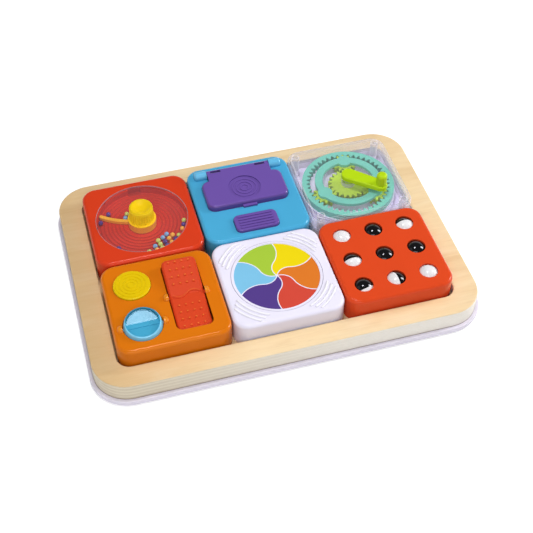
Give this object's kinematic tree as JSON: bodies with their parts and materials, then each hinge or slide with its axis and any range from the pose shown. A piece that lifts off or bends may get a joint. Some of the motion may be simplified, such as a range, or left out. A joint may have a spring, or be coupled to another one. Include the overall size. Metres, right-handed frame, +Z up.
{
  "type": "busy board",
  "caption": "Toddler activity board: a plywood board on a shallow base holds lift-out modules with a spinner, flip lid, planetary gears, switches, pinwheel and rolling balls.",
  "frame": {"origin": "centre of the flat underside of the base", "axes": "+X along the long side, +Y to the side with the lid's hinge, +Z up out of the modules"},
  "size_m": [0.3652, 0.2584, 0.059],
  "materials": {
    "birch": "lacquered plywood, satin",
    "tray_plastic": "moulded, soft gloss",
    "steel": "plated",
    "red_plastic": "moulded, soft gloss",
    "blue_plastic": "moulded, soft gloss",
    "clear_plastic": "clear moulded plastic",
    "orange_plastic": "moulded, soft gloss",
    "lavender_plastic": "moulded, soft gloss",
    "yellow_plastic": "moulded, soft gloss",
    "amber_plastic": "moulded",
    "bead_plastic": "mixed colours",
    "purple_plastic": "moulded, soft gloss",
    "mirror_sheet": "mirror film on sheet plastic",
    "aqua_plastic": "moulded, soft gloss",
    "lime_plastic": "moulded, soft gloss",
    "sky_plastic": "moulded, soft gloss",
    "scarlet_plastic": "moulded, soft gloss",
    "petal_colours": "six colours",
    "ball_plastic": "one half white, one half black"
  },
  "bodies": {
    "board": {"wood_frame": "birch", "base_tray": "tray_plastic", "tray_screws": "steel"},
    "bead_module": {"bead_housing": "red_plastic", "bead_back_cover": "red_plastic", "bead_tile_screws": "steel", "bead_window": "clear_plastic"},
    "bead_spinner": {"spinner_knob": "yellow_plastic", "sweeper_arm": "amber_plastic", "spinner_screw": "steel"},
    "loose_beads": {"beads": "bead_plastic"},
    "lid_module": {"lid_housing": "blue_plastic", "lid_back_cover": "blue_plastic", "lid_tile_screws": "steel", "lid_mirror": "mirror_sheet", "lid_hinge_pin": "steel", "release_springs": "steel"},
    "lid": {"flip_lid": "purple_plastic"},
    "release": {"release_button": "purple_plastic"},
    "gear_module": {"gear_housing": "clear_plastic", "gear_back_cover": "lavender_plastic", "gear_tile_screws": "steel", "ring_gear": "aqua_plastic"},
    "crank": {"crank_handle": "lime_plastic", "sun_gear": "lime_plastic"},
    "carrier": {"planet_carrier": "aqua_plastic"},
    "planet_1": {"planet_gear_1": "lime_plastic"},
    "planet_2": {"planet_gear_2": "lime_plastic"},
    "planet_3": {"planet_gear_3": "lime_plastic"},
    "switch_module": {"switch_housing": "orange_plastic", "switch_back_cover": "orange_plastic", "switch_tile_screws": "steel", "push_button_spring": "steel"},
    "push": {"push_button": "yellow_plastic"},
    "round_switch": {"round_rocker": "sky_plastic"},
    "bar_switch": {"bar_rocker": "scarlet_plastic"},
    "pinwheel_module": {"pinwheel_housing": "lavender_plastic", "pinwheel_back_cover": "lavender_plastic", "pinwheel_tile_screws": "steel"},
    "pinwheel": {"pinwheel_disc": "lavender_plastic", "pinwheel_petals": "petal_colours", "pinwheel_screw": "steel"},
    "ball_module": {"ball_housing": "red_plastic", "ball_back_cover": "red_plastic", "ball_tile_screws": "steel"},
    "roller_1": {"ball_1": "ball_plastic"},
    "roller_2": {"ball_2": "ball_plastic"},
    "roller_3": {"ball_3": "ball_plastic"},
    "roller_4": {"ball_4": "ball_plastic"},
    "roller_5": {"ball_5": "ball_plastic"},
    "roller_6": {"ball_6": "ball_plastic"},
    "roller_7": {"ball_7": "ball_plastic"},
    "roller_8": {"ball_8": "ball_plastic"},
    "roller_9": {"ball_9": "ball_plastic"}
  },
  "joints": [
    {"name": "bead_module_lift", "type": "slide", "parent": "board", "child": "bead_module", "axis": [0, 0, 1], "range_m": [0, 0.05]},
    {"name": "lid_module_lift", "type": "slide", "parent": "board", "child": "lid_module", "axis": [0, 0, 1], "range_m": [0, 0.05]},
    {"name": "gear_module_lift", "type": "slide", "parent": "board", "child": "gear_module", "axis": [0, 0, 1], "range_m": [0, 0.05]},
    {"name": "switch_module_lift", "type": "slide", "parent": "board", "child": "switch_module", "axis": [0, 0, 1], "range_m": [0, 0.05]},
    {"name": "pinwheel_module_lift", "type": "slide", "parent": "board", "child": "pinwheel_module", "axis": [0, 0, 1], "range_m": [0, 0.05]},
    {"name": "ball_module_lift", "type": "slide", "parent": "board", "child": "ball_module", "axis": [0, 0, 1], "range_m": [0, 0.05]},
    {"name": "bead_spin", "type": "hinge", "parent": "bead_module", "child": "bead_spinner", "pos_m": [-0.104, 0.052, 0.0402], "axis": [0, 0, 1], "continuous": true},
    {"name": "beads_roll", "type": "hinge", "parent": "bead_module", "child": "loose_beads", "pos_m": [-0.104, 0.052, 0.0402], "axis": [0, 0, 1], "continuous": true},
    {"name": "lid_hinge", "type": "hinge", "parent": "lid_module", "child": "lid", "pos_m": [0, 0.0905, 0.0422], "axis": [-1, 0, 0], "range_deg": [0, 105]},
    {"name": "release_press", "type": "slide", "parent": "lid_module", "child": "release", "axis": [0, 0, -1], "range_m": [0, 0.003], "stiffness_N_per_m": 350, "springref_m": -0.002, "deforming": ["release_springs"]},
    {"name": "crank_turn", "type": "hinge", "parent": "gear_module", "child": "crank", "pos_m": [0.104, 0.052, 0.0402], "axis": [0, 0, 1], "continuous": true},
    {"name": "carrier_turn", "type": "hinge", "parent": "gear_module", "child": "carrier", "pos_m": [0.104, 0.052, 0.0402], "axis": [0, 0, 1], "continuous": true},
    {"name": "planet_1_turn", "type": "hinge", "parent": "carrier", "child": "planet_1", "pos_m": [0.10926, 0.08039, 0.0292], "axis": [0, 0, 1], "continuous": true},
    {"name": "planet_2_turn", "type": "hinge", "parent": "carrier", "child": "planet_2", "pos_m": [0.07678, 0.04236, 0.0292], "axis": [0, 0, 1], "continuous": true},
    {"name": "planet_3_turn", "type": "hinge", "parent": "carrier", "child": "planet_3", "pos_m": [0.12596, 0.03325, 0.0292], "axis": [0, 0, 1], "continuous": true},
    {"name": "push_press", "type": "slide", "parent": "switch_module", "child": "push", "axis": [0, 0, -1], "range_m": [0, 0.003], "stiffness_N_per_m": 350, "springref_m": -0.002, "deforming": ["push_button_spring"]},
    {"name": "round_switch_rock", "type": "hinge", "parent": "switch_module", "child": "round_switch", "pos_m": [-0.1284, -0.076, 0.0378], "axis": [1, 0, 0], "range_deg": [-14, 0]},
    {"name": "bar_switch_rock", "type": "hinge", "parent": "switch_module", "child": "bar_switch", "pos_m": [-0.084, -0.0515, 0.0378], "axis": [1, 0, 0], "range_deg": [-18.4, 0]},
    {"name": "pinwheel_spin", "type": "hinge", "parent": "pinwheel_module", "child": "pinwheel", "pos_m": [0, -0.052, 0.0402], "axis": [0, 0, 1], "continuous": true},
    {"name": "roll_1", "type": "hinge", "parent": "ball_module", "child": "roller_1", "pos_m": [0.0727, -0.0207, 0.0319], "axis": [1, 0, 0], "continuous": true},
    {"name": "roll_2", "type": "hinge", "parent": "ball_module", "child": "roller_2", "pos_m": [0.104, -0.0207, 0.0319], "axis": [1, 0, 0], "continuous": true},
    {"name": "roll_3", "type": "hinge", "parent": "ball_module", "child": "roller_3", "pos_m": [0.1353, -0.0207, 0.0319], "axis": [1, 0, 0], "continuous": true},
    {"name": "roll_4", "type": "hinge", "parent": "ball_module", "child": "roller_4", "pos_m": [0.0727, -0.052, 0.0319], "axis": [1, 0, 0], "continuous": true},
    {"name": "roll_5", "type": "hinge", "parent": "ball_module", "child": "roller_5", "pos_m": [0.104, -0.052, 0.0319], "axis": [1, 0, 0], "continuous": true},
    {"name": "roll_6", "type": "hinge", "parent": "ball_module", "child": "roller_6", "pos_m": [0.1353, -0.052, 0.0319], "axis": [1, 0, 0], "continuous": true},
    {"name": "roll_7", "type": "hinge", "parent": "ball_module", "child": "roller_7", "pos_m": [0.0727, -0.0833, 0.0319], "axis": [1, 0, 0], "continuous": true},
    {"name": "roll_8", "type": "hinge", "parent": "ball_module", "child": "roller_8", "pos_m": [0.104, -0.0833, 0.0319], "axis": [1, 0, 0], "continuous": true},
    {"name": "roll_9", "type": "hinge", "parent": "ball_module", "child": "roller_9", "pos_m": [0.1353, -0.0833, 0.0319], "axis": [1, 0, 0], "continuous": true}
  ],
  "couplings": [
    {"joint": "beads_roll", "follows": "bead_spin", "ratio": 1},
    {"joint": "carrier_turn", "follows": "crank_turn", "ratio": 0.31818},
    {"joint": "planet_1_turn", "follows": "crank_turn", "ratio": -1.1932},
    {"joint": "planet_2_turn", "follows": "crank_turn", "ratio": -1.1932},
    {"joint": "planet_3_turn", "follows": "crank_turn", "ratio": -1.1932}
  ]
}
